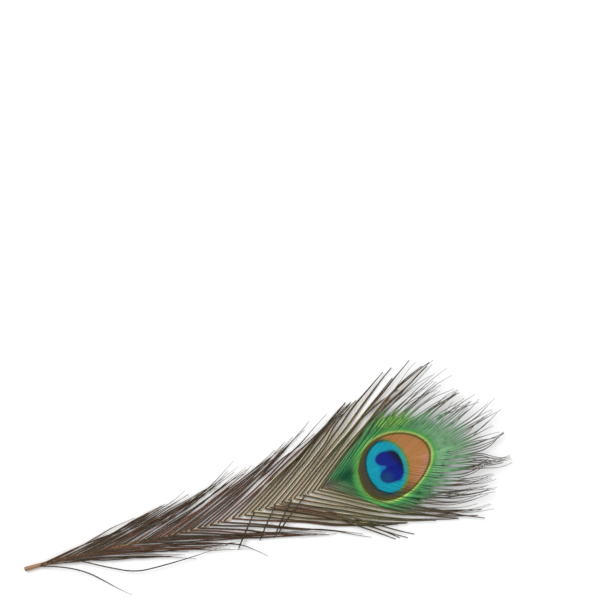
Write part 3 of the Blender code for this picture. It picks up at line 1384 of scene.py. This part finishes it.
@dataclass
class EyeAndCrown:
    """The barbs that cross the eye or wrap it: closely knitted in the eye, loose beyond."""

    barbs: dict[Side, Barbs]
    finish: EyeFinish
    near: float = 182.0
    far: float = 260.0
    overlap: float = 0.70
    widest: float = 3.0
    mark_reach: float = 1.33
    near_side_closes: float = 0.45
    roll: float = 0.14
    core: float = 0.36
    reach: float = 0.52
    spacing: float = 0.42
    barbule_width: float = 0.15
    barbule_angle: float = 33.0
    ramus: float = 0.13
    ramus_tip: float = 0.05

    def _taper(self, strand: Strand) -> np.ndarray:
        """How much the loose web and the barbules narrow along a barb."""
        return smooth(1 - strand.along, 0.0, 0.5) * 0.7 + 0.3

    def _widths(self, strand: Strand, gap: np.ndarray, eye: np.ndarray) -> np.ndarray:
        """The web's half widths: it meets its neighbours in the eye, and frees itself in
        the halo.

        Args:
            strand: The barb.
            gap: The room on its right and on its left.
            eye: The eye's distance at each of its points.

        Returns:
            The half widths to the right and to the left.
        """
        near_side = smooth(EYE.centre_x - strand.path[:, 0], 4.0, 26.0)
        free = eye - near_side * self.near_side_closes
        closed = (1 - smooth(free, 1.14, 1.62))[:, None]
        full = np.clip(gap * self.overlap, self.core, self.widest)
        return (self.core * self._taper(strand))[:, None] * (1 - closed) + full * closed

    def _stretches(self, eye: np.ndarray) -> list[tuple[bool, slice]]:
        """Cuts a barb where it crosses the rim.

        Args:
            eye: The eye's distance at each of its points.

        Returns:
            For each stretch, whether it is in the eye, and the points that it takes.
        """
        inside = eye < 1.0
        turns = np.nonzero(np.diff(inside.astype(int)))[0] + 1
        edges = [0, *turns.tolist(), len(eye) - 1]
        return [(bool(inside[a]), slice(a, b + 1)) for a, b in zip(edges, edges[1:]) if b - a >= 2]

    def build(self, plan: Plan) -> list[bpy.types.Object]:
        """Makes the eye and the two crowns, dresses them and puts them on their body.

        Args:
            plan: Where the feather's plan lies.

        Returns:
            The three objects.
        """
        meshes = {node: StrandMesh() for node in ("eye", "left_crown", "right_crown")}
        for side, barbs in self.barbs.items():
            for row in barbs.rows(self.near, self.far):
                random = np.random.default_rng(5000 + int(row) * 2 + (side is Side.LEFT))
                strand = barbs.strand(row, self.ramus, self.ramus_tip)
                widths = self._widths(strand, barbs.gap[row], barbs.eye[row])
                reach = np.maximum(self.reach * self._taper(strand), widths.mean(axis=1) * 0.9)
                for in_eye, chosen in self._stretches(barbs.eye[row]):
                    mesh = meshes["eye" if in_eye else f"{side.word}_crown"]
                    part = strand.part(chosen)
                    mesh.blade(part, *widths[chosen].T, self.roll * side.value * -1,
                               widths[chosen].max(axis=1) * self.mark_reach)
                    mesh.barbules(part, reach[chosen], self.spacing, self.barbule_width,
                                  self.barbule_angle, random)
        material = self.finish.material(plan)
        made = []
        for node, mesh in meshes.items():
            piece = mesh.build(f"{node}_strands", plan)
            dress(piece, material, node)
            made.append(piece)
        return made


# ---- the studio


@dataclass
class Studio:
    """A white table, soft light from above and a camera that looks straight down."""

    plan: Plan
    finish: TableFinish
    table_size: float = 6.0
    table_drop: float = 0.0001
    view_width: float = 352.8
    view_x: float = 199.0
    view_y: float = 107.5
    turn: float = -16.0
    camera_height: float = 1.25
    key_power: float = 33.0
    key_size: float = 1.2
    key_place: tuple[float, float, float] = (-0.8, 1.3, 1.7)
    fill_strength: float = 0.78

    def build(self) -> None:
        """Sets up the table, the lights and the camera."""
        self._table()
        self._lights()
        self._camera()
        bpy.context.scene.view_settings.view_transform = "Standard"

    def _table(self) -> None:
        """A wide flat top just under the feather."""
        half = self.table_size / 2
        corners = [(half * x, half * y, -self.table_drop)
                   for x, y in ((-1, -1), (1, -1), (1, 1), (-1, 1))]
        mesh = bpy.data.meshes.new("table")
        mesh.from_pydata(corners, [], [(0, 1, 2, 3)])
        mesh.materials.append(self.finish.material(self.plan))
        put_in_scene("table", mesh)

    def _lights(self) -> None:
        """A large soft light up on one side, and even light from all round."""
        data = bpy.data.lights.new("key", "AREA")
        data.energy = self.key_power
        data.size = self.key_size
        key = put_in_scene("key", data)
        key.location = self.key_place
        key.rotation_euler = (-key.location).to_track_quat("-Z", "Y").to_euler()
        world = bpy.data.worlds.new("studio")
        world.use_nodes = True
        background = world.node_tree.nodes["Background"]
        background.inputs["Color"].default_value = (1.0, 1.0, 1.0, 1.0)
        background.inputs["Strength"].default_value = self.fill_strength
        bpy.context.scene.world = world

    def _camera(self) -> None:
        """A long lens straight above, turned so that the feather runs up to the right."""
        data = bpy.data.cameras.new("camera")
        data.lens = data.sensor_width * self.camera_height / (self.view_width * MM)
        data.clip_end = 20.0
        camera = put_in_scene("camera", data)
        target = self.plan.placed(np.array([self.view_x, self.view_y, 0.0]))
        camera.location = (target[0], target[1], self.camera_height)
        camera.rotation_euler = (0.0, 0.0, math.radians(self.turn))
        bpy.context.scene.camera = camera


# ---- the feather's numbers

LEFT_RULES = (
    BarbRule(10, 70, 9, 10, 12),
    BarbRule(45, 80, 12, 14, 17),
    BarbRule(70, 84, 16, 18, 22),
    BarbRule(92, 88, 20, 23, 27),
    BarbRule(126, 92, 28, 32, 36),
    BarbRule(160, 96, 34, 38, 36),
    BarbRule(182, 100, 41, 36, 18),
    BarbRule(205, 84, 40, 34, 15),
    BarbRule(228, 66, 32, 23, 15),
    BarbRule(239, 62, 19, 14, 14),
    BarbRule(247, 54, 1, 4, 12),
)
RIGHT_RULES = (
    BarbRule(10, 80, 10, 13, 13),
    BarbRule(70, 94, 14, 16, 13),
    BarbRule(126, 96, 19.5, 23.5, 14),
    BarbRule(160, 98, 25, 29, 11),
    BarbRule(182, 100, 30, 36, 4),
    BarbRule(205, 88, 36, 34, -4),
    BarbRule(228, 68, 32, 19, -8),
    BarbRule(239, 62, 19, 7, -10),
    BarbRule(247, 53, 1, -3, -13),
)

RIGHT_SPACING = (2.8, 5.4, 6.6, 6.2, 4.6, 2.2, 1.3, 1.1)

RIGHT_STRAYS = (
    Stray(9, 58, (16, 20, 30, 44, 46, 40), 0.30),
    Stray(27, 96, (28, 29, 26, 2, 0, -2, -3), 0.25),
    Stray(70, 76, (16, 16, 17, 16, 18, 20, 40, 42), 0.35),
    Stray(139, 24, (131, 130, 126), 0.10),
    Stray(152, 23, (132, 130, 128), 0.15),
    Stray(162, 25, (133, 131, 127), 0.10),
    Stray(171, 30, (144, 142, 138), 0.20),
    Stray(148, 77, (24, 24, 27, 34, 35, 38), 0.95),
    Stray(151, 81, (24, 25, 28, 33, 34, 31), 1.00),
    Stray(154, 74, (25, 26, 29, 34, 36, 42), 0.90),
    Stray(157, 79, (25, 27, 30, 33, 32, 28), 0.97),
)

BROWN = BarbFinish("brown_barbs", srgb(38, 31, 24), srgb(80, 43, 32), srgb(176, 142, 100),
                   srgb(50, 38, 30), ramus_and_highlight_shows=0.20, web=srgb(226, 208, 178), web_shows=0.75)
OLIVE = BarbFinish("green_barbs", srgb(38, 34, 20), srgb(80, 50, 34), srgb(206, 188, 142),
                   srgb(56, 46, 36), ramus_and_highlight_shows=0.16, web=srgb(238, 222, 190), web_shows=0.92,
                   cast=srgb(70, 84, 38))
FRINGE = BarbFinish("crown_barbs", srgb(58, 54, 40), srgb(80, 66, 54), srgb(156, 146, 130),
                    srgb(62, 54, 54), ramus_and_highlight_shows=0.6, web=srgb(126, 120, 108),
                    web_shows=0.4, cast=srgb(56, 118, 66), cast_reach=2.0)

STRETCHES = (
    ("base_barbs", 0.0, 70.0, BROWN, "brown_barbs", 0.56, 0.36),
    ("middle_barbs", 70.0, 126.0, BROWN, "brown_barbs", 0.46, 0.52),
    ("upper_barbs", 126.0, 182.0, OLIVE, "green_barbs", 0.80, 1.00),
)


def main() -> None:
    """Builds the feather piece by piece, then the studio round it."""
    logging.basicConfig(level=logging.INFO, format="%(message)s")
    plan = Plan.from_frame()
    shaft = Shaft(plan, HornFinish())
    pieces = [shaft.build()]
    vanes = {Side.LEFT: Vane(Side.LEFT, shaft, LEFT_RULES, (), seed=11).grow(),
             Side.RIGHT: Vane(Side.RIGHT, shaft, RIGHT_RULES, RIGHT_STRAYS, seed=23,
                              spacing_sizes=RIGHT_SPACING, tuft_least=0.55, tuft_start=0.10).grow()}
    materials = {finish.name: finish.material(plan) for finish in (BROWN, OLIVE)}
    for side, barbs in vanes.items():
        for stretch in STRETCHES:
            pieces.append(BarbGroup(barbs, side, *stretch).build(plan, materials))
    pieces += EyeAndCrown(vanes, EyeFinish(FRINGE)).build(plan)
    for piece in pieces:
        log.info("%s: %d faces", piece.name, len(piece.data.polygons))
    Studio(plan, TableFinish()).build()


if __name__ == "__main__":
    main()
